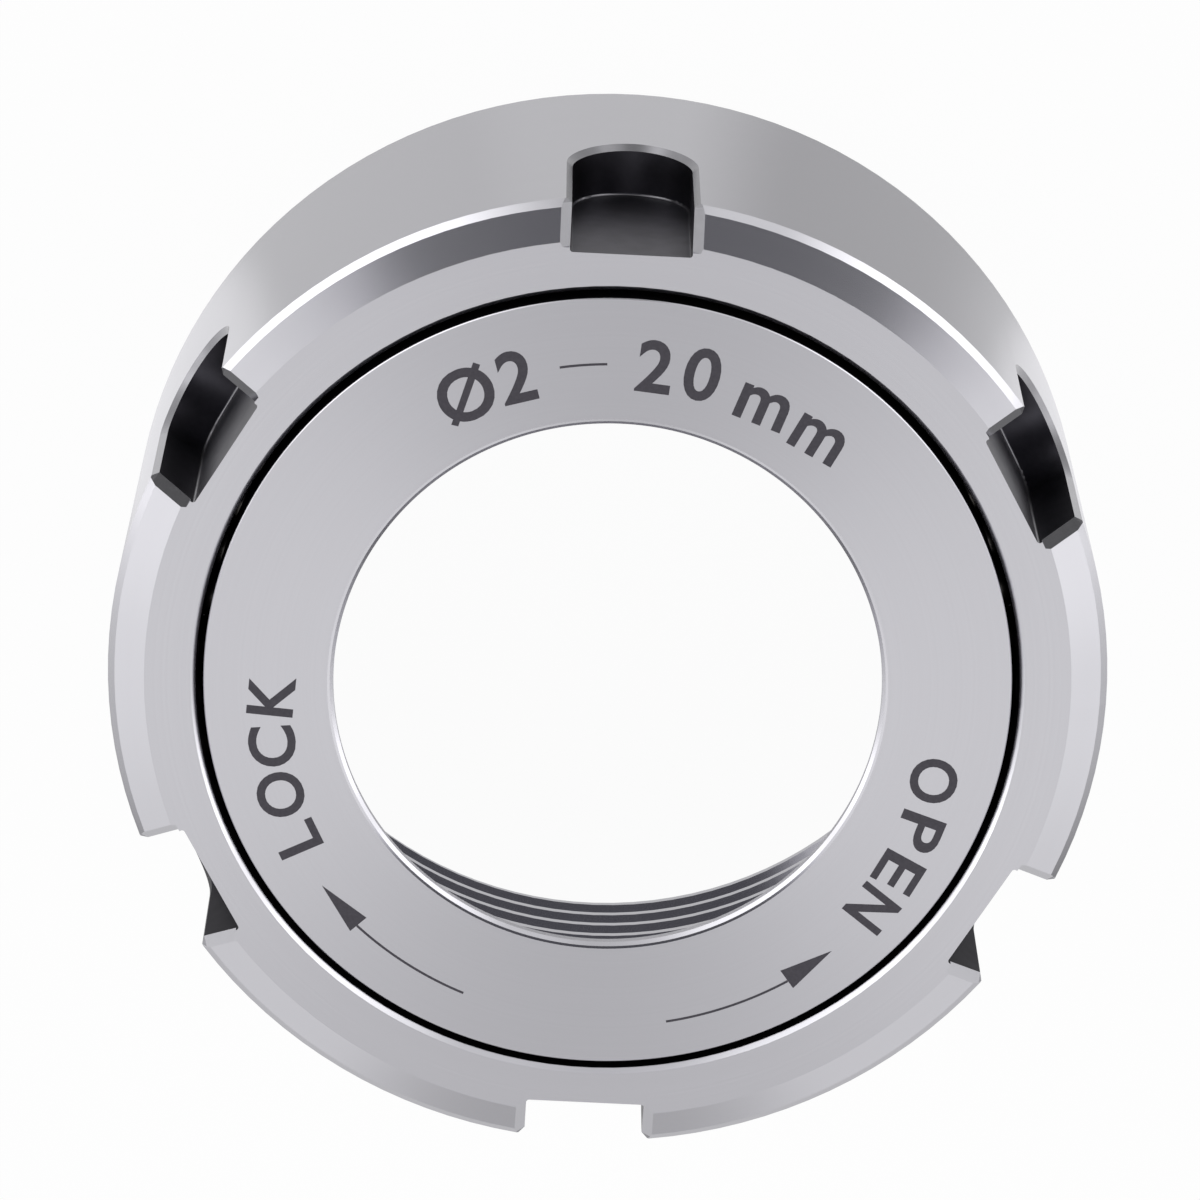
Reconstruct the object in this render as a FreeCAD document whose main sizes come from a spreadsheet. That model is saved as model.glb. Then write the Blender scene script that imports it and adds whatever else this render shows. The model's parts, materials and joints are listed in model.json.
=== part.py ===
import FreeCAD, Part
import math
import os
import Sketcher

# Slotted collet nut whose front thrust ring turns in the nut body on a full row of balls.
# The nut stands on its back face: Z is the nut's axis, z = 0 is the back face and the front face is up.

doc = FreeCAD.newDocument("collet_nut")

# Driving dimensions, in millimetres and degrees
SIZES = [
    ("nut_length", 22.5, "back face to front face"),
    ("rim_thickness", 4.43, "wall outside the ring's pocket"),
    ("front_cone_width", 1.88, "radial width of the cone round the front face"),
    ("front_cone_angle", 30, "of the cone to the front face"),
    ("rim_chamfer", 0.35, "45 degree chamfer where the cone meets the outer cylinder"),
    ("back_chamfer", 0.8, "45 degree chamfer round the back face"),
    ("mouth_bevel", 0.23, "45 degree edge break at the mouth of the ring's pocket"),
    ("thread_diameter", 40, "major diameter of the nut's thread"),
    ("thread_pitch", 1.5, "of that thread, which fixes the bore across its crests"),
    ("entry_room", 0.4, "radial room over the thread in the recess at the back"),
    ("entry_depth", 1.84, "of that recess"),
    ("entry_chamfer", 0.4, "45 degree edge break at the back opening"),
    ("slot_count", 6, "spanner slots round the rim"),
    ("slot_width", 6, "cutter diameter, so the slots end in half circles"),
    ("slot_length", 11.2, "from the front face to the tip of the slot"),
    ("slot_floor_wall", 1.83, "wall left between a slot's floor and the ring's pocket"),
    ("slot_floor_round", 0.15, "corner radius of the cutter"),
    ("slot_bevel", 0.3, "edge break of the slots on the outer cylinder"),
    ("slot_mouth_bevel", 0.66, "depth of the 45 degree bevel along a slot's edges on the front cone"),
    ("slot_mouth_start", 0.07, "where that bevel begins, above the round of the slot's floor"),
    ("ring_diameter", 40.32, "outside of the thrust ring"),
    ("ring_gap", 0.41, "open gap round the ring"),
    ("ring_set_back", 0.05, "ring's face below the front face"),
    ("ring_end_gap", 0.5, "running room behind the ring"),
    ("ring_edge_break", 0.12, "45 degree edge break round the ring's face"),
    ("ring_back_chamfer", 0.5, "45 degree chamfer round the ring's back"),
    ("bore_diameter", 27.4, "front opening for the collet's nose"),
    ("bore_round", 0.34, "radius at the front of that opening"),
    ("bore_land", 0.62, "straight length of that opening, the round included"),
    ("seat_angle", 30, "of the collet seat to the axis"),
    ("head_diameter", 33.8, "pocket for the collet's head"),
    ("head_wall", 0.9, "straight length of that pocket"),
    ("lip_thickness", 1.6, "of the lip that pulls the collet out"),
    ("lip_diameter", 32.2, "opening of the lip"),
    ("lip_offset", 0.95, "of that opening from the axis"),
    ("ball_diameter", 2.5, "bearing balls"),
    ("ball_gap", 0.01, "least room between two balls"),
    ("ball_clearance", 0.05, "between a ball and its races"),
    ("pitch_inset", 0.06, "ball centres inside the ring's outside"),
    ("race_depth", 4.6, "ball centres below the front face"),
    ("plug_room", 0.3, "loading hole wider than a ball"),
    ("plug_fit", 0.01, "radial clearance of the plug in its hole"),
    ("plug_set_back", 0.1, "plug below the outer cylinder and short of the race"),
    ("plug_chamfer", 0.2, "45 degree chamfer on both ends of the plug"),
]

sheet = doc.addObject("Spreadsheet::Sheet", "Sizes")
for row, (alias, value, note) in enumerate(SIZES, start=1):
    sheet.set("A%d" % row, alias)
    sheet.set("B%d" % row, str(value))
    sheet.set("C%d" % row, note)
    sheet.setAlias("B%d" % row, alias)
doc.recompute()

# Sizes that follow from the driving ones, as expressions
RING_RADIUS = "Sizes.ring_diameter / 2"
POCKET_RADIUS = "(Sizes.ring_diameter / 2 + Sizes.ring_gap)"
NUT_RADIUS = POCKET_RADIUS + " + Sizes.rim_thickness"
FACE_RADIUS = NUT_RADIUS + " - Sizes.front_cone_width"
CONE_FOOT_RADIUS = "(%s - Sizes.rim_chamfer)" % NUT_RADIUS
CONE_WIDTH = "(Sizes.front_cone_width - Sizes.rim_chamfer)"
CONE_FOOT = "Sizes.nut_length - %s * tan(Sizes.front_cone_angle * 1deg)" % CONE_WIDTH
SEAT_LENGTH = "(Sizes.head_diameter - Sizes.bore_diameter) / 2 / tan(Sizes.seat_angle * 1deg)"
RING_LENGTH = "(Sizes.bore_land + %s + Sizes.head_wall + Sizes.lip_thickness)" % SEAT_LENGTH
RING_BACK = "(Sizes.nut_length - Sizes.ring_set_back - %s)" % RING_LENGTH
POCKET_FLOOR = RING_BACK + " - Sizes.ring_end_gap"
THREAD_LEAD = "5 / 16 * sqrt(3) * Sizes.thread_pitch"
THREAD_RADIUS = "Sizes.thread_diameter / 2"
CREST_RADIUS = "%s - %s" % (THREAD_RADIUS, THREAD_LEAD)
ENTRY_RADIUS = THREAD_RADIUS + " + Sizes.entry_room"
SLOT_FLOOR = POCKET_RADIUS + " + Sizes.slot_floor_wall"
MOUTH_START = SLOT_FLOOR + " + Sizes.slot_floor_round + Sizes.slot_mouth_start"
CONE_DROP = "(%s - (%s)) * tan(Sizes.front_cone_angle * 1deg)" % (MOUTH_START, FACE_RADIUS)
CONE_AT_START = "Sizes.nut_length - " + CONE_DROP
PITCH_RADIUS = "(%s - Sizes.pitch_inset)" % RING_RADIUS
RACE_RADIUS = "(Sizes.ball_diameter / 2 + Sizes.ball_clearance)"
RACE_HEIGHT = "Sizes.nut_length - Sizes.race_depth"
HOLE_RADIUS = "(Sizes.ball_diameter + Sizes.plug_room) / 2"
PLUG_INNER_END = "%s + %s + Sizes.plug_set_back" % (PITCH_RADIUS, RACE_RADIUS)
PLUG_OUTER_END = NUT_RADIUS + " - Sizes.plug_set_back"

NEAR = 0.01     # mm, how near an edge must lie to count as the one meant
OVERRUN = 1     # mm, how far a cut is drawn past the surface that it opens


def number(expression):
    """What an expression on the sheet comes to, as a plain number."""
    value = sheet.evalExpression(expression)
    return float(getattr(value, "Value", value))


def new_sketch(body, name, role, offset=None):
    """A sketch on one of the body's own origin planes, moved along its normal by an expression if given."""
    plane = [f for f in body.Origin.OriginFeatures if f.Role == role][0]
    sketch = body.newObject("Sketcher::SketchObject", name)
    sketch.AttachmentSupport = (plane, [""])
    sketch.MapMode = "FlatFace"
    if offset:
        sketch.setExpression(".AttachmentOffset.Base.z", offset)
    return sketch


def bind(sketch, expression, kind, *ends):
    """A dimension of the sketch that follows an expression."""
    index = sketch.addConstraint(Sketcher.Constraint(kind, *ends, number(expression)))
    sketch.setExpression("Constraints[%d]" % index, expression)


def place_point(sketch, geometry, end, x, y):
    """Holds a point of the sketch at two expressions, measured from the origin."""
    for kind, expression, axis in (("DistanceX", x, -2), ("DistanceY", y, -1)):
        if expression == "0":
            sketch.addConstraint(Sketcher.Constraint("PointOnObject", geometry, end, axis))
        else:
            bind(sketch, expression, kind, -1, 1, geometry, end)


def draw_outline(sketch, corners):
    """Closed outline of straight lines through corners given as pairs of expressions."""
    points = [FreeCAD.Vector(number(x), number(y), 0) for x, y in corners]
    lines = [sketch.addGeometry(Part.LineSegment(a, b)) for a, b in zip(points, points[1:] + points[:1])]
    for line, following in zip(lines, lines[1:] + lines[:1]):
        sketch.addConstraint(Sketcher.Constraint("Coincident", line, 2, following, 1))
    for line, (x, y) in zip(lines, corners):
        place_point(sketch, line, 1, x, y)


def draw_circle(sketch, x, y, radius):
    """Circle with its centre and radius given as expressions."""
    centre = FreeCAD.Vector(number(x), number(y), 0)
    circle = sketch.addGeometry(Part.Circle(centre, FreeCAD.Vector(0, 0, 1), number(radius)))
    place_point(sketch, circle, 3, x, y)
    bind(sketch, radius, "Radius", circle)


def turned(body, kind, name, sketch):
    """A revolution or a groove once round the sketch's vertical axis."""
    feature = body.newObject(kind, name)
    feature.Profile = sketch
    feature.ReferenceAxis = (sketch, ["V_Axis"])
    feature.Angle = 360
    return feature


def edges_of(feature, wanted):
    """Names of the feature's edges whose middle point passes the test."""
    names = []
    for index, edge in enumerate(feature.Shape.Edges, start=1):
        middle = edge.valueAt((edge.FirstParameter + edge.LastParameter) / 2)
        if wanted(middle):
            names.append("Edge%d" % index)
    return names


def dressed(body, kind, name, base, edges, size_name, size):
    """A fillet or chamfer on named edges of the feature before it."""
    feature = body.newObject(kind, name)
    feature.Base = (base, edges)
    feature.setExpression(size_name, size)
    doc.recompute()
    return feature


def expect_less(feature, base):
    """Stops the build if a cut took nothing away."""
    if not feature.Shape.Volume < base.Shape.Volume - NEAR:
        raise RuntimeError(feature.Name + " cut nothing")


def make_nut_body():
    """Turned body with the ring's pocket, the thread's bore and the milled spanner slots."""
    body = doc.addObject("PartDesign::Body", "nut_body")
    body.Label = "nut_body"

    section = new_sketch(body, "nut_section", "XZ_Plane")
    draw_outline(section, [
        (ENTRY_RADIUS + " + Sizes.entry_chamfer", "0"),
        (NUT_RADIUS + " - Sizes.back_chamfer", "0"),
        (NUT_RADIUS, "Sizes.back_chamfer"),
        (NUT_RADIUS, CONE_FOOT + " - Sizes.rim_chamfer"),
        (CONE_FOOT_RADIUS, CONE_FOOT),
        (FACE_RADIUS, "Sizes.nut_length"),
        (POCKET_RADIUS + " + Sizes.mouth_bevel", "Sizes.nut_length"),
        (POCKET_RADIUS, "Sizes.nut_length - Sizes.mouth_bevel"),
        (POCKET_RADIUS, POCKET_FLOOR),
        (THREAD_RADIUS, POCKET_FLOOR),
        (CREST_RADIUS, "%s - %s" % (POCKET_FLOOR, THREAD_LEAD)),
        (CREST_RADIUS, "Sizes.entry_depth + " + THREAD_LEAD),
        (THREAD_RADIUS, "Sizes.entry_depth"),
        (ENTRY_RADIUS, "Sizes.entry_depth"),
        (ENTRY_RADIUS, "Sizes.entry_chamfer"),
    ])
    blank = turned(body, "PartDesign::Revolution", "turned_blank", section)
    doc.recompute()

    race_section = new_sketch(body, "outer_race_section", "XZ_Plane")
    draw_circle(race_section, PITCH_RADIUS, RACE_HEIGHT, RACE_RADIUS)
    race = turned(body, "PartDesign::Groove", "outer_race", race_section)
    doc.recompute()
    expect_less(race, blank)

    hole_sketch = new_sketch(body, "loading_hole_sketch", "YZ_Plane")
    draw_circle(hole_sketch, "0", RACE_HEIGHT, HOLE_RADIUS)
    hole = body.newObject("PartDesign::Pocket", "loading_hole")
    hole.Profile = hole_sketch
    hole.Reversed = True
    hole.setExpression("Length", "%s + %d" % (NUT_RADIUS, OVERRUN))
    doc.recompute()
    expect_less(hole, race)

    # The first slot is milled into the side that faces -Y, where the sketch plane's normal points
    slot_sketch = new_sketch(body, "slot_sketch", "XZ_Plane", SLOT_FLOOR)
    draw_slot(slot_sketch)
    slot = body.newObject("PartDesign::Pocket", "slot")
    slot.Profile = slot_sketch
    slot.Reversed = True
    slot.setExpression("Length", "Sizes.rim_thickness")
    doc.recompute()
    expect_less(slot, hole)

    # A bevel cutter then runs out of the slot's front end, down the slope of the cone
    mouth_sketch = new_sketch(body, "slot_mouth_sketch", "XZ_Plane", MOUTH_START)
    draw_mouth_bevel(mouth_sketch)
    mouth = body.newObject("PartDesign::Pocket", "slot_mouth")
    mouth.Profile = mouth_sketch
    mouth.UseCustomVector = True
    slope = math.radians(number("Sizes.front_cone_angle"))
    mouth.Direction = FreeCAD.Vector(0, -math.cos(slope), -math.sin(slope))
    mouth.setExpression("Length", "Sizes.rim_thickness / cos(Sizes.front_cone_angle * 1deg)")
    doc.recompute()
    expect_less(mouth, slot)

    slots = body.newObject("PartDesign::PolarPattern", "slots")
    slots.Originals = [slot, mouth]
    slots.Axis = ([f for f in body.Origin.OriginFeatures if f.Role == "Z_Axis"][0], [""])
    slots.Angle = 360
    slots.setExpression("Occurrences", "Sizes.slot_count")
    body.Tip = slots
    doc.recompute()
    expect_less(slots, mouth)

    floors = dressed(body, "PartDesign::Fillet", "slot_floor_rounds", slots,
                     edges_of(slots, on_slot_floor), "Radius", "Sizes.slot_floor_round")
    dressed(body, "PartDesign::Chamfer", "slot_bevels", floors,
            edges_of(floors, on_slot_rim), "Size", "Sizes.slot_bevel")
    return body


def draw_mouth_bevel(sketch):
    """Trapezium as wide as the slot at its foot, whose sides lean out at 45 degrees."""
    foot = "%s - Sizes.slot_mouth_bevel" % CONE_AT_START
    top = "%s + %d" % (CONE_AT_START, OVERRUN)
    inner = "Sizes.slot_width / 2"
    outer = "(%s + Sizes.slot_mouth_bevel + %d)" % (inner, OVERRUN)
    draw_outline(sketch, [(inner, foot), (outer, top), ("-" + outer, top), ("-" + inner, foot)])


def draw_slot(sketch):
    """Slot with a half-round end, open past the front face."""
    half = "Sizes.slot_width / 2"
    spring = "Sizes.nut_length - Sizes.slot_length + Sizes.slot_width / 2"
    top = "Sizes.nut_length + %d" % OVERRUN
    side, foot, head = number(half), number(spring), number(top)
    corners = [FreeCAD.Vector(side, foot, 0), FreeCAD.Vector(side, head, 0),
               FreeCAD.Vector(-side, head, 0), FreeCAD.Vector(-side, foot, 0)]
    lines = [sketch.addGeometry(Part.LineSegment(a, b)) for a, b in zip(corners, corners[1:])]
    circle = Part.Circle(FreeCAD.Vector(0, foot, 0), FreeCAD.Vector(0, 0, 1), side)
    end = sketch.addGeometry(Part.ArcOfCircle(circle, math.pi, 2 * math.pi))
    for first, second in zip(lines, lines[1:]):
        sketch.addConstraint(Sketcher.Constraint("Coincident", first, 2, second, 1))
    sketch.addConstraint(Sketcher.Constraint("Tangent", lines[2], 2, end, 1))
    sketch.addConstraint(Sketcher.Constraint("Tangent", end, 2, lines[0], 1))
    sketch.addConstraint(Sketcher.Constraint("Horizontal", lines[1]))
    place_point(sketch, end, 3, "0", spring)
    bind(sketch, half, "Radius", end)
    bind(sketch, top, "DistanceY", -1, 1, lines[0], 2)
    sketch.addConstraint(Sketcher.Constraint("Vertical", lines[0]))


def in_slot(point):
    """Where a point lies as seen from its nearest slot: across it, out from the axis, and up."""
    step = 2 * math.pi / number("Sizes.slot_count")
    angle = math.atan2(point.x, -point.y)
    angle -= step * round(angle / step)
    reach = math.hypot(point.x, point.y)
    return reach * math.sin(angle), reach * math.cos(angle), point.z


def on_slot_floor(point):
    """Floor corners, the open end at the front left out."""
    across, out, up = in_slot(point)
    inside = abs(across) < number("Sizes.slot_width") / 2 + NEAR and up < number("Sizes.nut_length") - NEAR
    return inside and abs(out - number(SLOT_FLOOR)) < NEAR


def on_slot_rim(point):
    """Slot edges on the outer cylinder."""
    across, out, up = in_slot(point)
    inside = abs(across) < number("Sizes.slot_width") / 2 + NEAR
    above_back = up > number("Sizes.nut_length") - number("Sizes.slot_length") - NEAR
    return inside and above_back and abs(math.hypot(across, out) - number(NUT_RADIUS)) < NEAR


def make_thrust_ring():
    """Turned ring with the collet's seat, the inner race and the eccentric lip. Its own z = 0 is its back."""
    body = doc.addObject("PartDesign::Body", "thrust_ring")
    body.Label = "thrust_ring"
    body.setExpression(".Placement.Base.z", RING_BACK)

    section = new_sketch(body, "ring_section", "XZ_Plane")
    draw_outline(section, [
        ("Sizes.head_diameter / 2", "0"),
        (RING_RADIUS + " - Sizes.ring_back_chamfer", "0"),
        (RING_RADIUS, "Sizes.ring_back_chamfer"),
        (RING_RADIUS, RING_LENGTH + " - Sizes.ring_edge_break"),
        (RING_RADIUS + " - Sizes.ring_edge_break", RING_LENGTH),
        ("Sizes.bore_diameter / 2", RING_LENGTH),
        ("Sizes.bore_diameter / 2", RING_LENGTH + " - Sizes.bore_land"),
        ("Sizes.head_diameter / 2", "Sizes.head_wall + Sizes.lip_thickness"),
    ])
    blank = turned(body, "PartDesign::Revolution", "turned_ring", section)
    doc.recompute()

    race_section = new_sketch(body, "inner_race_section", "XZ_Plane")
    draw_circle(race_section, PITCH_RADIUS, "%s - %s" % (RACE_HEIGHT, RING_BACK), RACE_RADIUS)
    race = turned(body, "PartDesign::Groove", "inner_race", race_section)
    doc.recompute()
    expect_less(race, blank)

    # The lip's outer circle lies inside the ring's wall, and its opening sits off the axis
    lip_sketch = new_sketch(body, "lip_sketch", "XY_Plane")
    draw_circle(lip_sketch, "0", "0", "(Sizes.head_diameter / 2 + %s) / 2" % RING_RADIUS)
    centre = FreeCAD.Vector(0, -number("Sizes.lip_offset"), 0)
    opening = lip_sketch.addGeometry(
        Part.Circle(centre, FreeCAD.Vector(0, 0, 1), number("Sizes.lip_diameter / 2")))
    lip_sketch.addConstraint(Sketcher.Constraint("PointOnObject", opening, 3, -2))
    bind(lip_sketch, "Sizes.lip_offset", "DistanceY", opening, 3, -1, 1)
    bind(lip_sketch, "Sizes.lip_diameter / 2", "Radius", opening)
    lip = body.newObject("PartDesign::Pad", "extraction_lip")
    lip.Profile = lip_sketch
    lip.setExpression("Length", "Sizes.lip_thickness")
    doc.recompute()

    def on_bore_edge(point):
        at_face = abs(point.z - number(RING_LENGTH)) < NEAR
        return at_face and abs(math.hypot(point.x, point.y) - number("Sizes.bore_diameter / 2")) < NEAR

    dressed(body, "PartDesign::Fillet", "bore_round", lip,
            edges_of(lip, on_bore_edge), "Radius", "Sizes.bore_round")
    return body


def make_loading_plug():
    """Plain pin pressed flush into the loading hole, along +X at the height of the balls."""
    body = doc.addObject("PartDesign::Body", "loading_plug")
    body.Label = "loading_plug"
    body.setExpression(".Placement.Base.x", PLUG_INNER_END)
    body.setExpression(".Placement.Base.z", RACE_HEIGHT)
    sketch = new_sketch(body, "plug_sketch", "YZ_Plane")
    draw_circle(sketch, "0", "0", "%s - Sizes.plug_fit" % HOLE_RADIUS)
    pin = body.newObject("PartDesign::Pad", "pin")
    pin.Profile = sketch
    pin.setExpression("Length", "%s - (%s)" % (PLUG_OUTER_END, PLUG_INNER_END))
    doc.recompute()

    def on_end_rim(point):
        at_rim = math.hypot(point.y, point.z) > number(HOLE_RADIUS) / 2
        return at_rim and not NEAR < point.x < pin.Length.Value - NEAR

    dressed(body, "PartDesign::Chamfer", "pin_chamfers", pin,
            edges_of(pin, on_end_rim), "Size", "Sizes.plug_chamfer")
    return body


def make_bearing_balls():
    """As many balls as fill the groove, each a piece of its own."""
    pitch = 2 * math.asin(number("(Sizes.ball_diameter + Sizes.ball_gap) / 2") / number(PITCH_RADIUS))
    count = int(2 * math.pi / pitch)
    balls = []
    for index in range(count):
        ball = doc.addObject("Part::Sphere", "bearing_ball_%02d" % (index + 1))
        ball.Label = ball.Name
        angle = "%d * 360deg / %d" % (index, count)
        ball.setExpression("Radius", "Sizes.ball_diameter / 2")
        ball.setExpression(".Placement.Base.x", "%s * cos(%s)" % (PITCH_RADIUS, angle))
        ball.setExpression(".Placement.Base.y", "%s * sin(%s)" % (PITCH_RADIUS, angle))
        ball.setExpression(".Placement.Base.z", RACE_HEIGHT)
        balls.append(ball)
    return balls


pieces = [make_nut_body(), make_thrust_ring(), make_loading_plug()] + make_bearing_balls()
doc.recompute()

for item in doc.Objects:
    if "Invalid" in item.State or "Error" in item.State:
        raise RuntimeError("failed: " + item.Name)
for piece in pieces:
    if piece.Shape.isNull() or not piece.Shape.isValid() or len(piece.Shape.Solids) != 1:
        raise RuntimeError("bad shape: " + piece.Label)

os.makedirs("parts", exist_ok=True)
for piece in pieces:
    piece.Shape.exportStep("parts/%s.step" % piece.Label)
box = pieces[0].Shape.BoundBox
print("pieces", len(pieces), "nut body", round(box.XLength, 3), round(box.YLength, 3), round(box.ZLength, 3))
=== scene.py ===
import json
import math

import bpy
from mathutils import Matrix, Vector


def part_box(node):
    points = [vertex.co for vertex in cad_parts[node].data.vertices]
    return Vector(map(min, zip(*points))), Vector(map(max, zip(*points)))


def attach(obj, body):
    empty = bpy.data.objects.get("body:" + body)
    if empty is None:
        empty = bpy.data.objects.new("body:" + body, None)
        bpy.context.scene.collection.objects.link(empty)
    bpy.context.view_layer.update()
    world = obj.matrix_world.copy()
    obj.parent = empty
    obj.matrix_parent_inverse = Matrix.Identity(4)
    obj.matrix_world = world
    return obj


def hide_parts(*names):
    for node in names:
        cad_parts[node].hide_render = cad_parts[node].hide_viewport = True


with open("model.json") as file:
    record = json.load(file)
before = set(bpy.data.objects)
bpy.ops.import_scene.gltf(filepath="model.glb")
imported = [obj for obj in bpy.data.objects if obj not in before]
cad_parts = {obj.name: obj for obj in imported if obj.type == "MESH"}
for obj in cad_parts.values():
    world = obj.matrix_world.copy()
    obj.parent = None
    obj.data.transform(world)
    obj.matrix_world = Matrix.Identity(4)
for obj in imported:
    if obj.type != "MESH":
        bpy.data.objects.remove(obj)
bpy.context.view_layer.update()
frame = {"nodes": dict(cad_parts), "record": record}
MM = 0.001


# Nut body
# One piece of hardened steel, turned and ground all over on its own axis, with six spanner slots milled
# into the rim. The slots keep the dark scale of the hardening. The thread is cut from the back.

nut_node = frame["nodes"]["nut_body"]
FACE_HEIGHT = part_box("nut_body")[1].z
mounts = {mount["name"]: mount for mount in frame["record"]["mounts"]}
CREST_RADIUS = mounts["spindle_thread"]["dims"]["r_mm"] * MM
THREAD_PITCH = 1.5 * MM
THREAD_RADIUS = CREST_RADIUS + THREAD_PITCH * 5 / 16 * math.sqrt(3)
THREAD_START = 0.907 * MM       # height of the groove where it crosses the +X axis, below the entry recess
THREAD_TURNS = 9                # enough to run out into the ring's pocket
STEPS_PER_TURN = 128
GROOVE_OVERLAP = 0.15 * MM      # the cutter starts this far inside the crests
ROOT_FLAT = THREAD_PITCH / 8
FLANK_ANGLE = math.radians(30)
BORE_ROOM = 0.05 * MM           # what lies this little outside the thread's roots belongs to the bore
NUT_SHARP_ANGLE = math.radians(25)
WELD = 0.0005 * MM


def only(piece):
    """Leaves this object alone selected and active."""
    bpy.ops.object.select_all(action="DESELECT")
    piece.select_set(True)
    bpy.context.view_layer.objects.active = piece


def edit_vertices(piece, wanted):
    """Goes into edit mode with only the wanted vertices selected."""
    only(piece)
    bpy.ops.object.mode_set(mode="EDIT")
    bpy.ops.mesh.select_mode(type="VERT")
    bpy.ops.mesh.select_all(action="DESELECT")
    bpy.ops.object.mode_set(mode="OBJECT")
    for vertex in piece.data.vertices:
        vertex.select = wanted(vertex.co)
    bpy.ops.object.mode_set(mode="EDIT")


def apply_modifier(piece, kind, **settings):
    """Adds a modifier with these settings and applies it at once."""
    only(piece)
    bpy.ops.object.modifier_add(type=kind)
    modifier = piece.modifiers[-1]
    for name, value in settings.items():
        setattr(modifier, name, value)
    bpy.ops.object.modifier_apply(modifier=modifier.name)


nut = bpy.data.objects.new("threaded_nut_body", nut_node.data.copy())
bpy.context.scene.collection.objects.link(nut)
edit_vertices(nut, lambda place: True)
bpy.ops.mesh.remove_doubles(threshold=WELD, use_sharp_edge_from_normals=True)
bpy.ops.object.mode_set(mode="OBJECT")
smooth = bpy.data.objects.new("smooth", nut.data.copy())
bpy.context.scene.collection.objects.link(smooth)

# The thread's groove is a trapezium, wound up the bore as a right-hand helix
groove_inside = CREST_RADIUS - GROOVE_OVERLAP
groove_depth = THREAD_RADIUS - groove_inside
groove_mouth = ROOT_FLAT + 2 * groove_depth * math.tan(FLANK_ANGLE)
bpy.ops.mesh.primitive_plane_add(size=1, location=((groove_inside + THREAD_RADIUS) / 2, 0, THREAD_START),
                                 rotation=(math.pi / 2, 0, 0))
groove = bpy.context.object
groove.scale = (groove_depth, ROOT_FLAT, 1)
bpy.ops.object.transform_apply(location=True, rotation=True, scale=True)
edit_vertices(groove, lambda place: place.x < groove_inside + WELD)
bpy.ops.transform.resize(value=(1, 1, groove_mouth / ROOT_FLAT),
                         center_override=(groove_inside, 0, THREAD_START))
bpy.ops.object.mode_set(mode="OBJECT")
apply_modifier(groove, "SCREW", angle=2 * math.pi, screw_offset=THREAD_PITCH, iterations=THREAD_TURNS,
               steps=STEPS_PER_TURN, render_steps=STEPS_PER_TURN, axis="Z")
edit_vertices(groove, lambda place: True)
bpy.ops.mesh.fill_holes(sides=4)
bpy.ops.mesh.normals_make_consistent(inside=False)
bpy.ops.object.mode_set(mode="OBJECT")
apply_modifier(nut, "BOOLEAN", operation="DIFFERENCE", solver="EXACT", object=groove)
bpy.data.objects.remove(groove)

edit_vertices(nut, lambda place: True)
bpy.ops.mesh.customdata_custom_splitnormals_clear()
bpy.ops.object.mode_set(mode="OBJECT")
bpy.ops.object.shade_smooth_by_angle(angle=NUT_SHARP_ANGLE)


def in_bore(place):
    """In the threaded bore or its run-outs."""
    return math.hypot(place.x, place.y) < THREAD_RADIUS + BORE_ROOM


# Everything but the thread gets the CAD's own normals back
outside = nut.vertex_groups.new(name="outside_the_thread")
outside.add([vertex.index for vertex in nut.data.vertices if not in_bore(vertex.co)], 1.0, "REPLACE")
apply_modifier(nut, "DATA_TRANSFER", object=smooth, use_loop_data=True, data_types_loops={"CUSTOM_NORMAL"},
               loop_mapping="NEAREST_POLYNOR", vertex_group=outside.name)
bpy.data.objects.remove(smooth)


def add_node(tree, kind, **settings):
    """A shader node with these properties set."""
    node = tree.nodes.new("ShaderNode" + kind)
    for name, value in settings.items():
        setattr(node, name, value)
    return node


def calculate(tree, operation, *values):
    """The result of a Math node. Each value is another node's output or a plain number."""
    node = add_node(tree, "Math", operation=operation)
    for socket, value in zip(node.inputs, values):
        if isinstance(value, (int, float)):
            socket.default_value = value
        else:
            tree.links.new(value, socket)
    return node.outputs[0]


def ramp(tree, value, low, high, low_level=0.0, high_level=1.0):
    """A smooth step between two levels."""
    step = add_node(tree, "MapRange", interpolation_type="SMOOTHSTEP")
    step.inputs["From Min"].default_value = low
    step.inputs["From Max"].default_value = high
    step.inputs["To Min"].default_value = low_level
    step.inputs["To Max"].default_value = high_level
    tree.links.new(value, step.inputs["Value"])
    return step.outputs["Result"]


def object_place(tree):
    """The place of a point in its piece's own space."""
    return add_node(tree, "TexCoord").outputs["Object"]


def distance_from_origin(tree, place):
    """How far a place is from the origin."""
    reach = add_node(tree, "VectorMath", operation="LENGTH")
    tree.links.new(place, reach.inputs[0])
    return reach.outputs["Value"]


def grain(tree, scale, detail=2.0):
    """Noise that is the same in all directions."""
    noise = add_node(tree, "TexNoise")
    noise.inputs["Scale"].default_value = scale
    noise.inputs["Detail"].default_value = detail
    tree.links.new(object_place(tree), noise.inputs["Vector"])
    return noise.outputs["Fac"]


def mix_colour(tree, target, factor, first, second):
    """Colours a socket from first to second as the factor goes from 0 to 1."""
    tint = add_node(tree, "Mix", data_type="RGBA")
    tint.inputs["A"].default_value = (*first, 1.0)
    tint.inputs["B"].default_value = (*second, 1.0)
    tree.links.new(factor, tint.inputs["Factor"])
    tree.links.new(tint.outputs["Result"], target)


def mix_roughness(tree, shader, factor, low, high):
    """Lets the roughness drift between two values."""
    polish = add_node(tree, "MapRange")
    polish.inputs["To Min"].default_value = low
    polish.inputs["To Max"].default_value = high
    tree.links.new(factor, polish.inputs["Value"])
    tree.links.new(polish.outputs["Result"], shader.inputs["Roughness"])


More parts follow.
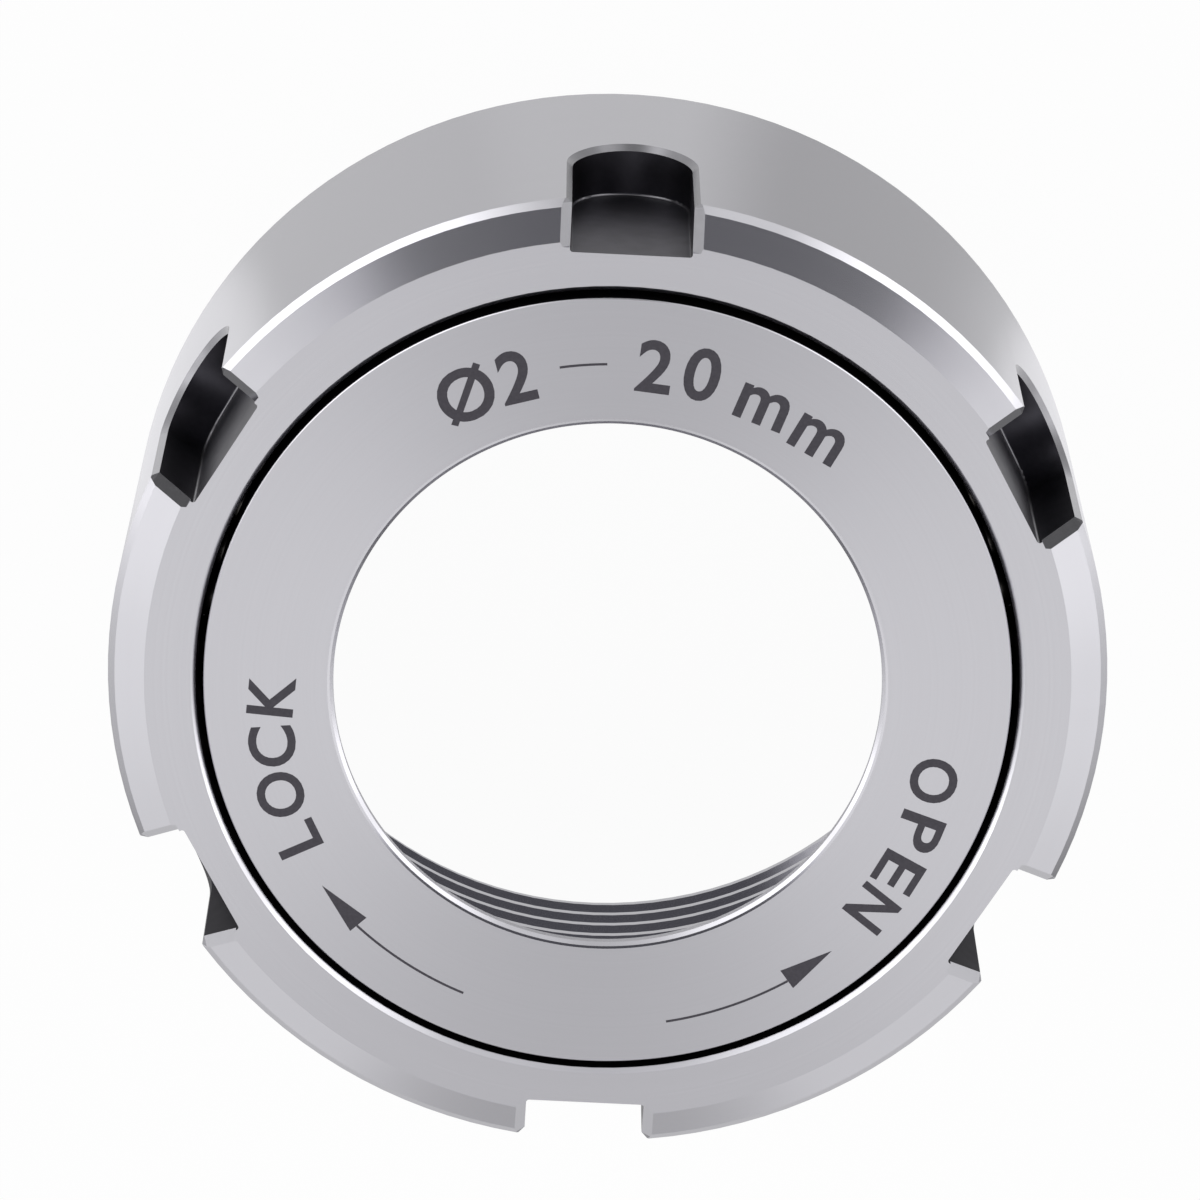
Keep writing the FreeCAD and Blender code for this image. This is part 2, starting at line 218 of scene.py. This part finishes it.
def add_bump(tree, shader, height, depth):
    """Makes the surface uneven by this depth."""
    bump = add_node(tree, "Bump")
    bump.inputs["Distance"].default_value = depth
    tree.links.new(height, bump.inputs["Height"])
    tree.links.new(bump.outputs["Normal"], shader.inputs["Normal"])


def new_metal(name, colour, roughness):
    """A metal material, its node tree and its shader."""
    material = bpy.data.materials.new(name)
    material.use_nodes = True
    tree = material.node_tree
    shader = tree.nodes["Principled BSDF"]
    shader.inputs["Metallic"].default_value = 1.0
    shader.inputs["Base Color"].default_value = (*colour, 1.0)
    shader.inputs["Roughness"].default_value = roughness
    return material, tree, shader


def mottled_metal(name, colour, roughness, scale, dark, light):
    """A metal whose colour drifts between two tints."""
    material, tree, shader = new_metal(name, colour, roughness)
    mix_colour(tree, shader.inputs["Base Color"], grain(tree, scale), dark, light)
    return material


TOOL_LINE = 0.13 * MM           # width of the fine lines that the turning tool left
TOOL_BAND = 1.1 * MM            # width of the broad bands
BAND_SHARE = 0.35               # of the bands in the colour, beside the lines
TINT_RANGE = 0.025              # how much lighter or darker a line is
BAND_DEPTH = 0.0012 * MM
AXIAL_WEIGHT = 0.7              # not 1, or the lines would vanish on a cone of 45 degrees
EDGE_FADE = 0.04


def lathe_height(tree, line_width):
    """One-dimensional noise that changes along a turned surface and stays the same round the axis."""
    apart = add_node(tree, "SeparateXYZ")
    tree.links.new(object_place(tree), apart.inputs[0])
    flat = add_node(tree, "CombineXYZ")
    tree.links.new(apart.outputs["X"], flat.inputs["X"])
    tree.links.new(apart.outputs["Y"], flat.inputs["Y"])
    reach = distance_from_origin(tree, flat.outputs[0])
    along = calculate(tree, "MULTIPLY_ADD", apart.outputs["Z"], AXIAL_WEIGHT, reach)
    noise = add_node(tree, "TexNoise", noise_dimensions="1D")
    noise.inputs["Scale"].default_value = 1.0
    noise.inputs["Detail"].default_value = 3.0
    tree.links.new(calculate(tree, "DIVIDE", along, line_width), noise.inputs["W"])
    return noise.outputs["Fac"]


def turned_steel(name, roughness, edge_roughness, edge_slope, edge_range):
    """Steel turned round its axis. The tool lines spread a reflection across them. Where the normal's Z is
    within edge_range of edge_slope, as on the edge breaks, the cut is finer."""
    colour = (0.606, 0.60, 0.636)
    material, tree, shader = new_metal(name, colour, roughness)
    bands = lathe_height(tree, TOOL_BAND)
    mixed = add_node(tree, "Mix", data_type="FLOAT")
    mixed.inputs["Factor"].default_value = BAND_SHARE
    tree.links.new(lathe_height(tree, TOOL_LINE), mixed.inputs["A"])
    tree.links.new(bands, mixed.inputs["B"])
    mix_colour(tree, shader.inputs["Base Color"], mixed.outputs["Result"],
               [level * (1 - TINT_RANGE) for level in colour], [level * (1 + TINT_RANGE) for level in colour])
    add_bump(tree, shader, bands, BAND_DEPTH)
    facing = add_node(tree, "SeparateXYZ")
    tree.links.new(add_node(tree, "TexCoord").outputs["Normal"], facing.inputs[0])
    slope = calculate(tree, "ABSOLUTE", facing.outputs["Z"])
    off_edge = calculate(tree, "ABSOLUTE", calculate(tree, "SUBTRACT", slope, edge_slope))
    spread = ramp(tree, off_edge, edge_range, edge_range + EDGE_FADE, edge_roughness, roughness)
    tree.links.new(spread, shader.inputs["Roughness"])
    shader.inputs["Anisotropic"].default_value = 0.9
    shader.inputs["Anisotropic Rotation"].default_value = 0.25
    round_axis = add_node(tree, "Tangent", direction_type="RADIAL", axis="Z")
    tree.links.new(round_axis.outputs[0], shader.inputs["Tangent"])
    return material


body_steel = turned_steel("ground body steel", 0.23, 0.12, 0.62, 0.17)
thread_steel = turned_steel("cut thread steel", 0.17, 0.15, 0.5, 0.4)

scale_steel, tree, shader = new_metal("hardening scale in the slots", (0.06, 0.058, 0.066), 0.38)
mottle = grain(tree, 900, detail=4)
mix_colour(tree, shader.inputs["Base Color"], mottle, (0.052, 0.050, 0.060), (0.125, 0.121, 0.141))
add_bump(tree, shader, mottle, 0.002 * MM)

edge_steel, tree, shader = new_metal("milled bevel steel", (0.60, 0.595, 0.63), 0.12)
mix_roughness(tree, shader, grain(tree, 2500), 0.09, 0.15)

worn_steel = mottled_metal("worn slot corner", (0.2, 0.198, 0.21), 0.3,
                           700, (0.14, 0.138, 0.148), (0.27, 0.268, 0.285))
# Painted shade: the slots' bevels on the outer cylinder are darker than the milled bevel steel, for the dark
# reflections they show
rim_bevel_painted_shade = mottled_metal("bevel steel on the rim, darkened as painted shade", (0.34, 0.337, 0.357), 0.26,
                          1600, (0.31, 0.307, 0.325), (0.37, 0.367, 0.389))
# Painted shade: the walls of the running gap, on the nut and on the ring, are darkened so that the gap
# between the parts looks black
gap_wall_painted_shade = mottled_metal("steel darkened as painted shade in the running gap", (0.06, 0.058, 0.066), 0.5,
                             800, (0.048, 0.046, 0.054), (0.075, 0.072, 0.083))

SLOT_STEP = 2 * math.pi / 6
SLOT_HALF_WIDTH = 3.0 * MM
SLOT_LENGTH = 11.2 * MM
SLOT_FLOOR = 22.4 * MM
SLOT_BEVEL = 1.0 * MM           # how far the bevels reach outside a slot
CONE_DEPTH = 1.23 * MM          # of the front cone with the chamfer at its foot
POCKET_RADIUS = 20.57 * MM
NEAR = 0.02 * MM
UPRIGHT = 0.2                   # a wall's normal has less Z than this
SIDEWAYS = 0.3                  # a bevel's normal points more than this round the axis
FLOOR_ROUND = (0.25, 0.93)      # how far outward the normals of the round beside a slot's floor point
slot_spring = FACE_HEIGHT - SLOT_LENGTH + SLOT_HALF_WIDTH


def in_slot(place, room):
    """On the floor or the walls of a spanner slot, or this much outside it. One slot faces -Y."""
    angle = math.atan2(place.x, -place.y)
    angle -= SLOT_STEP * round(angle / SLOT_STEP)
    reach = math.hypot(place.x, place.y)
    across, out = reach * math.sin(angle), reach * math.cos(angle)
    inside = math.hypot(across, min(0, place.z - slot_spring)) < SLOT_HALF_WIDTH + room
    return inside and out > SLOT_FLOOR - NEAR and place.z < FACE_HEIGHT - NEAR


def is_bevel(face):
    """Neither part of the outer cylinder, nor of the front face or its cone."""
    radial = Vector((face.center.x, face.center.y, 0)).normalized()
    round_the_axis = abs(face.normal.dot(Vector((-radial.y, radial.x, 0))))
    return round_the_axis > SIDEWAYS or (face.normal.z > UPRIGHT and face.center.z < slot_spring)


def is_on_cylinder(face):
    """Below the front cone, where a slot's bevel meets the outer cylinder."""
    return face.center.z < FACE_HEIGHT - CONE_DEPTH


def is_gap_wall(face):
    """On the wall of the ring's pocket, above or below the balls."""
    reach = math.hypot(face.center.x, face.center.y)
    return abs(face.normal.z) < UPRIGHT and POCKET_RADIUS - NEAR < reach < POCKET_RADIUS + NEAR


def is_floor_round(face):
    """On the small round between a slot's floor and its walls, which the cutter left bright."""
    turn = SLOT_STEP * round(math.atan2(face.center.x, -face.center.y) / SLOT_STEP)
    outward = face.normal.dot(Vector((math.sin(turn), -math.cos(turn), 0)))
    return FLOOR_ROUND[0] < outward < FLOOR_ROUND[1]


def nut_steel(face):
    """The material of one face of the nut."""
    if in_slot(face.center, NEAR):
        return worn_steel if is_floor_round(face) else scale_steel
    if in_slot(face.center, SLOT_BEVEL) and is_bevel(face):
        return rim_bevel_painted_shade if is_on_cylinder(face) else edge_steel
    if is_gap_wall(face):
        return gap_wall_painted_shade
    return thread_steel if in_bore(face.center) else body_steel


nut_steels = [body_steel, scale_steel, edge_steel, thread_steel, worn_steel, rim_bevel_painted_shade, gap_wall_painted_shade]
nut.data.materials.clear()
for material in nut_steels:
    nut.data.materials.append(material)
for face in nut.data.polygons:
    face.material_index = nut_steels.index(nut_steel(face))
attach(nut, "nut_body")
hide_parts("nut_body")


# Thrust ring
# A turned and ground steel ring that turns on the balls in the front of the nut. Its cone presses on the
# collet, and the lip behind it pulls the collet out.

ring_low, ring_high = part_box("thrust_ring")
RING_RADIUS = ring_high.x
RING_FACE = ring_high.z
RING_BACK = ring_low.z
BORE_RADIUS = 13.7 * MM
BORE_CHAMFER = 0.22 * MM
BORE_BREAK = 0.07 * MM          # takes the corner off the chamfer's outer edge
BORE_LAND = 0.62 * MM
HEAD_RADIUS = 16.9 * MM
HEAD_WALL = 0.9 * MM
LIP_THICKNESS = 1.6 * MM
LIP_RADIUS = 16.1 * MM
LIP_OFFSET = 0.95 * MM
LIP_OVERLAP = 0.1 * MM          # how far the lip's washer reaches into the head's wall
EDGE_BREAK = 0.05 * MM
BACK_CHAMFER = 0.5 * MM
RACE_PITCH = 20.1 * MM
RACE_RADIUS = 1.3 * MM
RACE_HEIGHT = 17.9 * MM
RACE_STEPS = 40
RING_STEPS = 288
RING_SHARP_ANGLE = math.radians(20)


def at(place, x, z):
    """Whether a point of a section in the XZ plane is the one at x, z."""
    return abs(place.x - x) < WELD and abs(place.z - z) < WELD


def cut_corner(section, x, z, size):
    """Chamfers one corner of a flat section."""
    edit_vertices(section, lambda place: at(place, x, z))
    bpy.ops.mesh.bevel(offset=size, segments=1, affect="VERTICES")
    bpy.ops.object.mode_set(mode="OBJECT")


def move_corner(section, x, z, to_x, to_z):
    """Moves one corner of a flat section."""
    edit_vertices(section, lambda place: at(place, x, z))
    bpy.ops.transform.translate(value=(to_x - x, 0, to_z - z))
    bpy.ops.object.mode_set(mode="OBJECT")


def flat_section(low_x, low_z, high_x, high_z):
    """A rectangle in the XZ plane."""
    bpy.ops.object.select_all(action="DESELECT")
    bpy.ops.mesh.primitive_plane_add(size=1, rotation=(math.pi / 2, 0, 0))
    section = bpy.context.object
    section.scale = (high_x - low_x, high_z - low_z, 1)
    section.location = ((low_x + high_x) / 2, 0, (low_z + high_z) / 2)
    bpy.ops.object.transform_apply(location=True, rotation=True, scale=True)
    return section


def spin_section(section, steps):
    """Turns the outline of a flat section once round the Z axis into a closed solid."""
    edit_vertices(section, lambda place: True)
    bpy.ops.mesh.delete(type="ONLY_FACE")
    bpy.ops.mesh.select_all(action="SELECT")
    bpy.ops.mesh.spin(steps=steps, angle=2 * math.pi, center=(0, 0, 0), axis=(0, 0, 1))
    bpy.ops.mesh.select_all(action="SELECT")
    bpy.ops.mesh.remove_doubles(threshold=WELD)
    bpy.ops.mesh.normals_make_consistent(inside=False)
    bpy.ops.object.mode_set(mode="OBJECT")


def add_cylinder(radius, depth, y, z):
    """An upright cylinder with its middle at y, z."""
    bpy.ops.object.select_all(action="DESELECT")
    bpy.ops.mesh.primitive_cylinder_add(vertices=RING_STEPS, radius=radius, depth=depth, location=(0, y, z))
    return bpy.context.object


# The inner side of the section gets the land, the cone and the head's pocket
ring = flat_section(BORE_RADIUS, RING_BACK, RING_RADIUS, RING_FACE)
ring.name = "turned_thrust_ring"
edit_vertices(ring, lambda place: place.x < BORE_RADIUS + WELD)
bpy.ops.mesh.subdivide(number_cuts=2)
bpy.ops.object.mode_set(mode="OBJECT")
third = (RING_FACE - RING_BACK) / 3
move_corner(ring, BORE_RADIUS, RING_FACE - third, BORE_RADIUS, RING_FACE - BORE_LAND)
move_corner(ring, BORE_RADIUS, RING_BACK + third, HEAD_RADIUS, RING_BACK + LIP_THICKNESS + HEAD_WALL)
move_corner(ring, BORE_RADIUS, RING_BACK, HEAD_RADIUS, RING_BACK)
cut_corner(ring, BORE_RADIUS, RING_FACE, BORE_CHAMFER)
cut_corner(ring, BORE_RADIUS + BORE_CHAMFER, RING_FACE, BORE_BREAK)
cut_corner(ring, RING_RADIUS, RING_FACE, EDGE_BREAK)
cut_corner(ring, RING_RADIUS, RING_BACK, BACK_CHAMFER)
spin_section(ring, RING_STEPS)

bpy.ops.object.select_all(action="DESELECT")
bpy.ops.mesh.primitive_torus_add(major_radius=RACE_PITCH, minor_radius=RACE_RADIUS,
                                 location=(0, 0, RACE_HEIGHT),
                                 major_segments=RING_STEPS, minor_segments=RACE_STEPS)
race = bpy.context.object
apply_modifier(ring, "BOOLEAN", operation="DIFFERENCE", solver="EXACT", object=race)
bpy.data.objects.remove(race)

# The lip is a washer whose hole sits off the axis
lip = add_cylinder(HEAD_RADIUS + LIP_OVERLAP, LIP_THICKNESS, 0, RING_BACK + LIP_THICKNESS / 2)
bpy.ops.object.transform_apply(location=True, rotation=False, scale=False)
hole = add_cylinder(LIP_RADIUS, 3 * LIP_THICKNESS, -LIP_OFFSET, RING_BACK)
apply_modifier(lip, "BOOLEAN", operation="DIFFERENCE", solver="EXACT", object=hole)
apply_modifier(ring, "BOOLEAN", operation="UNION", solver="EXACT", object=lip)
bpy.data.objects.remove(hole)
bpy.data.objects.remove(lip)
only(ring)
bpy.ops.object.shade_smooth_by_angle(angle=RING_SHARP_ANGLE)
apply_modifier(ring, "WEIGHTED_NORMAL", keep_sharp=True, weight=50)


def is_outer_wall(face):
    """On the ring's side of the running gap."""
    at_rim = math.hypot(face.center.x, face.center.y) > RING_RADIUS - NEAR
    return at_rim and abs(face.normal.z) < UPRIGHT


ring_steel = turned_steel("ground ring steel", 0.3, 0.13, 0.5, 0.44)
ring_steels = [ring_steel, gap_wall_painted_shade]
ring.data.materials.clear()
for material in ring_steels:
    ring.data.materials.append(material)
for face in ring.data.polygons:
    face.material_index = ring_steels.index(gap_wall_painted_shade if is_outer_wall(face) else ring_steel)
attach(ring, "thrust_ring")
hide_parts("thrust_ring")


# Bearing balls
# A full row of hardened steel balls in the groove between the ring and the nut body. Their steel is darkened
# as painted shade of the running gap. They carry the ring's thrust and keep it in the nut.

# Painted shade: the balls sit in the dark running gap, so their steel is given a near-black colour
ball_painted_shade, tree, shader = new_metal("ball steel darkened as painted shade", (0.09, 0.085, 0.08), 0.2)
mix_roughness(tree, shader, grain(tree, 2500), 0.12, 0.32)
for name, node in frame["nodes"].items():
    if name.startswith("bearing_ball"):
        node.data.materials.clear()
        node.data.materials.append(ball_painted_shade)


# Loading plug
# A short ground steel pin that closes the hole through which the balls were loaded. It is pressed in from
# the rim until it sits a little below the outer cylinder.

plug_node = frame["nodes"]["loading_plug"]
pin_steel, tree, shader = new_metal("ground pin steel", (0.55, 0.55, 0.57), 0.3)
add_bump(tree, shader, grain(tree, 3000), 0.001 * MM)
plug_node.data.materials.clear()
plug_node.data.materials.append(pin_steel)


# Marks on the ring
# Burnt dark into the ring's face: the words and arrows for the two ways of turning, and the range of
# shanks that the nut clamps.

MARK_HEIGHT = 0.008 * MM        # the skin of a mark above the ring's face
MARK_DEPTH = 0.02 * MM
WORD_HEIGHT = 2.36 * MM
WORD_WEIGHT = 0.062 * MM        # what the outline of a letter is moved out by
RANGE_HEIGHT = 2.7 * MM
RANGE_WEIGHT = 0.07 * MM
LINE_WIDTH = 0.12 * MM
LINE_STEPS = 24
LETTER_STEPS = 6
CAPITALS = 0.729                # height of the letters over the size of the text
mark_level = ring_high.z + MARK_HEIGHT - MARK_DEPTH / 2

mark_ink = mottled_metal("burnt mark", (0.065, 0.06, 0.07), 0.5,
                         6000, (0.046, 0.042, 0.053), (0.078, 0.072, 0.088))
mark_ink.node_tree.nodes["Principled BSDF"].inputs["Metallic"].default_value = 0.3


def on_ring(radius, angle):
    """A place at the height of the marks, by its radius and its angle in degrees."""
    turn = math.radians(angle)
    return Vector((radius * math.cos(turn), radius * math.sin(turn), mark_level))


def finish_mark(pieces, name):
    """Joins the parts of a mark into one piece on the thrust ring."""
    only(pieces[0])
    for piece in pieces:
        piece.select_set(True)
    bpy.ops.object.join()
    mark = bpy.context.object
    mark.name = name
    edit_vertices(mark, lambda place: True)
    bpy.ops.mesh.remove_doubles(threshold=WELD)
    bpy.ops.mesh.normals_make_consistent(inside=False)
    bpy.ops.object.mode_set(mode="OBJECT")
    mark.data.materials.clear()
    mark.data.materials.append(mark_ink)
    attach(mark, "thrust_ring")


def letter(text, height, width, weight):
    """One letter as a flat solid, its middle at the origin and its width this many times the font's."""
    bpy.ops.object.select_all(action="DESELECT")
    bpy.ops.object.text_add()
    piece = bpy.context.object
    piece.data.body = text
    piece.data.size = height / CAPITALS
    piece.data.offset = weight / width
    piece.data.extrude = MARK_DEPTH / 2
    piece.data.resolution_u = LETTER_STEPS
    bpy.ops.object.convert(target="MESH")
    piece = bpy.context.object
    edge = [vertex.co.x for vertex in piece.data.vertices]
    piece.location = (-(min(edge) + max(edge)) / 2 * width, -height / 2, 0)
    piece.scale = (width, 1, 1)
    bpy.ops.object.transform_apply(location=True, rotation=False, scale=True)
    return piece


def word(name, height, weight, places):
    """Letters round the ring with their tops outward. Each is given with its angle, the radius of its middle
    in mm, its lean and its width."""
    letters = []
    for character, angle, radius, lean, width in places:
        piece = letter(character, height, width, weight)
        only(piece)
        piece.location = on_ring(radius * MM, angle)
        piece.rotation_euler = (0, 0, math.radians(angle) - math.pi / 2 + math.radians(lean))
        bpy.ops.object.transform_apply(location=True, rotation=True, scale=False)
        letters.append(piece)
    finish_mark(letters, name)


def curved_line(radius, start, end):
    """A thin bar bent round the axis between two angles."""
    bpy.ops.object.select_all(action="DESELECT")
    bpy.ops.mesh.primitive_plane_add(size=1, location=(radius, 0, mark_level), rotation=(math.pi / 2, 0, 0))
    line = bpy.context.object
    line.scale = (LINE_WIDTH, MARK_DEPTH, 1)
    bpy.ops.object.transform_apply(location=True, rotation=True, scale=True)
    line.rotation_euler = (0, 0, math.radians(start))
    bpy.ops.object.transform_apply(location=False, rotation=True, scale=False)
    edit_vertices(line, lambda place: True)
    bpy.ops.mesh.spin(steps=LINE_STEPS, angle=math.radians(end - start), center=(0, 0, 0), axis=(0, 0, -1))
    bpy.ops.mesh.select_all(action="SELECT")
    bpy.ops.mesh.fill_holes(sides=4)
    bpy.ops.object.mode_set(mode="OBJECT")
    return line


def arrow_head(radius, start, end, half_width):
    """A long flat triangle with its tip at the end angle. A triangle in a circle of radius 1 is 1.5 high."""
    base = on_ring(radius, start)
    toward = on_ring(radius, end) - base
    bpy.ops.object.select_all(action="DESELECT")
    bpy.ops.mesh.primitive_cylinder_add(vertices=3, radius=1, depth=MARK_DEPTH)
    head = bpy.context.object
    head.scale = (half_width / math.sin(math.radians(60)), toward.length / 1.5, 1)
    bpy.ops.object.transform_apply(location=False, rotation=False, scale=True)
    head.rotation_euler = (0, 0, math.atan2(toward.y, toward.x) - math.pi / 2)
    head.location = base + toward / 3
    bpy.ops.object.transform_apply(location=True, rotation=True, scale=False)
    return head


word("range_mark", RANGE_HEIGHT, RANGE_WEIGHT,
     [("\u00d8", 117.5, 16.85, -3, 1), ("2", 108.5, 16.85, -2, 1), ("2", 85.0, 16.9, 0, 1),
      ("0", 77.0, 17.0, 2, 1), ("m", 65.5, 16.95, 5, 1), ("m", 54.5, 17.05, 8, 1)])
word("lock_mark", WORD_HEIGHT, WORD_WEIGHT,
     [("L", -149.86, 17.65, -3.0, 1.07), ("O", -158.0, 17.43, -6, 0.96), ("C", -166.6, 17.14, -7.5, 1.02),
      ("K", -175.65, 16.87, -7.7, 1)])
word("open_mark", WORD_HEIGHT, WORD_WEIGHT,
     [("O", -14.0, 17.15, 3, 0.94), ("P", -23.36, 17.51, 5.3, 1.27), ("E", -31.1, 17.74, 3.85, 1.29),
      ("N", -38.6, 17.89, 1.6, 0.89)])
finish_mark([curved_line(17.95 * MM, -111.1, -131.9), arrow_head(17.85 * MM, -131.9, -140.8, 0.55 * MM)],
            "lock_arrow")
finish_mark([curved_line(18.2 * MM, -77.7, -57.0), arrow_head(18.1 * MM, -57.0, -48.3, 0.575 * MM)],
            "open_arrow")
finish_mark([curved_line(16.8 * MM, 101.0, 93.0)], "range_dash")


# Stage
# A pale table under the nut, a soft white room round it, and the camera over its front. Patches of the table
# and the room are lighter or darker to the metal, which mirrors them; those on the table are painted
# reflections, which the paper gives off only to mirrored rays.

FLOOR_SIZE = 3.0
FLOOR_DROP = 0.05 * MM          # keeps the table out of the plane of the nut's back face
PAPER_SEEN = 0.96               # share of its own light in how the camera sees the paper
FADE = 1.6                      # a near patch is gone at this many times its reach

bpy.ops.object.select_all(action="DESELECT")
bpy.ops.mesh.primitive_plane_add(size=FLOOR_SIZE, location=(0, 0, -FLOOR_DROP))
floor = bpy.context.object
floor.name = "floor"
paper = bpy.data.materials.new("white paper")
paper.use_nodes = True
tree = paper.node_tree
matte = tree.nodes["Principled BSDF"]
matte.inputs["Base Color"].default_value = (0.86, 0.86, 0.86, 1)
matte.inputs["Roughness"].default_value = 0.9
glow = add_node(tree, "Emission")
path = add_node(tree, "LightPath")
seen = calculate(tree, "MULTIPLY", path.outputs["Is Camera Ray"], PAPER_SEEN)
mirrored = calculate(tree, "MAXIMUM", path.outputs["Is Glossy Ray"], path.outputs["Is Transmission Ray"])
reach = distance_from_origin(tree, object_place(tree))
spot = add_node(tree, "VectorMath", operation="NORMALIZE")
tree.links.new(object_place(tree), spot.inputs[0])
bearing = spot.outputs[0]


def patch(tree, direction, toward, inner, outer, centre_level, level):
    """Brightness that goes smoothly from one level in a direction to another beyond an angle from it."""
    dot = add_node(tree, "VectorMath", operation="DOT_PRODUCT")
    tree.links.new(direction, dot.inputs[0])
    dot.inputs[1].default_value = Vector(toward).normalized()
    edge, centre = math.cos(math.radians(outer)), math.cos(math.radians(inner))
    return ramp(tree, dot.outputs["Value"], edge, centre, level, centre_level)


# Painted reflections: how bright the metal sees the paper, by the side of the nut that it lies on. To
# mirrored rays the paper gives off only this painted light, without the nut's shadow
behind = patch(tree, bearing, (0, 1, 0), 12, 30, 1.0, 0.0)
behind = calculate(tree, "MULTIPLY", behind, ramp(tree, reach, 0.07, 0.2))
side = ramp(tree, behind, 0.0, 1.0, 0.72, 0.12)
for toward, inner, outer, share in (((0.53, 0.85, 0), 8, 26, 0.78), ((0, 1, 0), 10, 22, 1.08)):
    side = calculate(tree, "MULTIPLY", side, patch(tree, bearing, toward, inner, outer, share, 1.0))

# These four lie next to the nut and end a short way out
near_patches = (((-0.951, 0.309, 0), 4, 24, 1.47, 0.07),
                ((0.956, 0.292, 0), 4, 20, 1.47, 0.07),
                ((-0.9, -0.42, 0), 8, 26, 0.3, 0.11),
                ((0.9, -0.42, 0), 8, 26, 0.3, 0.11))
for toward, inner, outer, share, far in near_patches:
    inside = patch(tree, bearing, toward, inner, outer, 1.0, 0.0)
    inside = calculate(tree, "MULTIPLY", inside, ramp(tree, reach, far * FADE, far))
    side = calculate(tree, "MULTIPLY", side, ramp(tree, inside, 0.0, 1.0, 1.0, share))
strength = calculate(tree, "MULTIPLY_ADD", mirrored, calculate(tree, "SUBTRACT", side, 1.0), 1.0)
tree.links.new(strength, glow.inputs["Strength"])
mix = add_node(tree, "MixShader")
tree.links.new(calculate(tree, "ADD", mirrored, seen), mix.inputs["Fac"])
tree.links.new(matte.outputs[0], mix.inputs[1])
tree.links.new(glow.outputs[0], mix.inputs[2])
tree.links.new(mix.outputs[0], tree.nodes["Material Output"].inputs["Surface"])
floor.data.materials.append(paper)

world = bpy.data.worlds.new("studio")
bpy.context.scene.world = world
world.use_nodes = True
tree = world.node_tree
sky = tree.nodes["Background"]
direction = add_node(tree, "TexCoord").outputs["Generated"]

# A black card above the camera, wider than it is high
apart = add_node(tree, "SeparateXYZ")
tree.links.new(direction, apart.inputs[0])
x, y, z = apart.outputs
card = calculate(tree, "MULTIPLY", ramp(tree, x, 0.74, 0.5), ramp(tree, x, -0.66, -0.4))
card = calculate(tree, "MULTIPLY", card, ramp(tree, z, 0.38, 0.52))
card = calculate(tree, "MULTIPLY", card, ramp(tree, y, -0.02, 0.23))
level = ramp(tree, card, 0.0, 1.0, 0.96, 0.1)

# Darker at the end of the room in front, at the foot of the wall behind and at two places on each side,
# and lighter at one place on each side
room_patches = (((0, -0.98, 0.2), 4, 22, 0.5),
                ((0, -0.57, 0.82), 5, 18, 0.62),
                ((0, 0.99, 0.06), 9, 17, 0.12),
                ((0.946, 0.253, 0.21), 3, 10, 0.6),
                ((-0.946, 0.253, 0.21), 3, 10, 0.6),
                ((0.952, 0.3, 0.03), 4, 9, 0.5),
                ((-0.952, 0.3, 0.03), 4, 9, 0.5),
                ((0.87, -0.12, 0.47), 10, 36, 1.2),
                ((-0.87, -0.12, 0.47), 10, 36, 1.2))
for toward, inner, outer, share in room_patches:
    level = calculate(tree, "MULTIPLY", level, patch(tree, direction, toward, inner, outer, share, 1.0))

# Two long low lights, one on each side
low = calculate(tree, "MULTIPLY", ramp(tree, z, 0.03, 0.12), ramp(tree, z, 0.42, 0.3))
for toward, inner, outer, power in (((-0.86, 0.5, 0.1), 26, 48, 1.1), ((0.9, 0.42, 0.1), 22, 42, 1.0)):
    lamp = patch(tree, direction, toward, inner, outer, power, 0.0)
    level = calculate(tree, "ADD", level, calculate(tree, "MULTIPLY", low, lamp))
mix_colour(tree, sky.inputs["Color"], card, (1.0, 1.0, 1.0), (0.97, 0.97, 1.09))
tree.links.new(level, sky.inputs["Strength"])
white = add_node(tree, "Background")
white.inputs["Color"].default_value = (1.0, 1.0, 1.0, 1.0)
path = add_node(tree, "LightPath")
mix = add_node(tree, "MixShader")
tree.links.new(path.outputs["Is Camera Ray"], mix.inputs["Fac"])
tree.links.new(sky.outputs[0], mix.inputs[1])
tree.links.new(white.outputs[0], mix.inputs[2])
tree.links.new(mix.outputs[0], tree.nodes["World Output"].inputs["Surface"])

camera_data = bpy.data.cameras.new("camera")
camera = bpy.data.objects.new("camera", camera_data)
bpy.context.scene.collection.objects.link(camera)
camera.location = (-6.189 * MM, 107.332 * MM, 329.142 * MM)
camera.rotation_euler = [math.radians(turn) for turn in (-18.548, -0.0602, 2.9243)]
camera_data.lens = 195.507
camera_data.sensor_width = 36
camera_data.clip_start = 0.01
bpy.context.scene.camera = camera
bpy.context.scene.view_settings.view_transform = "Standard"
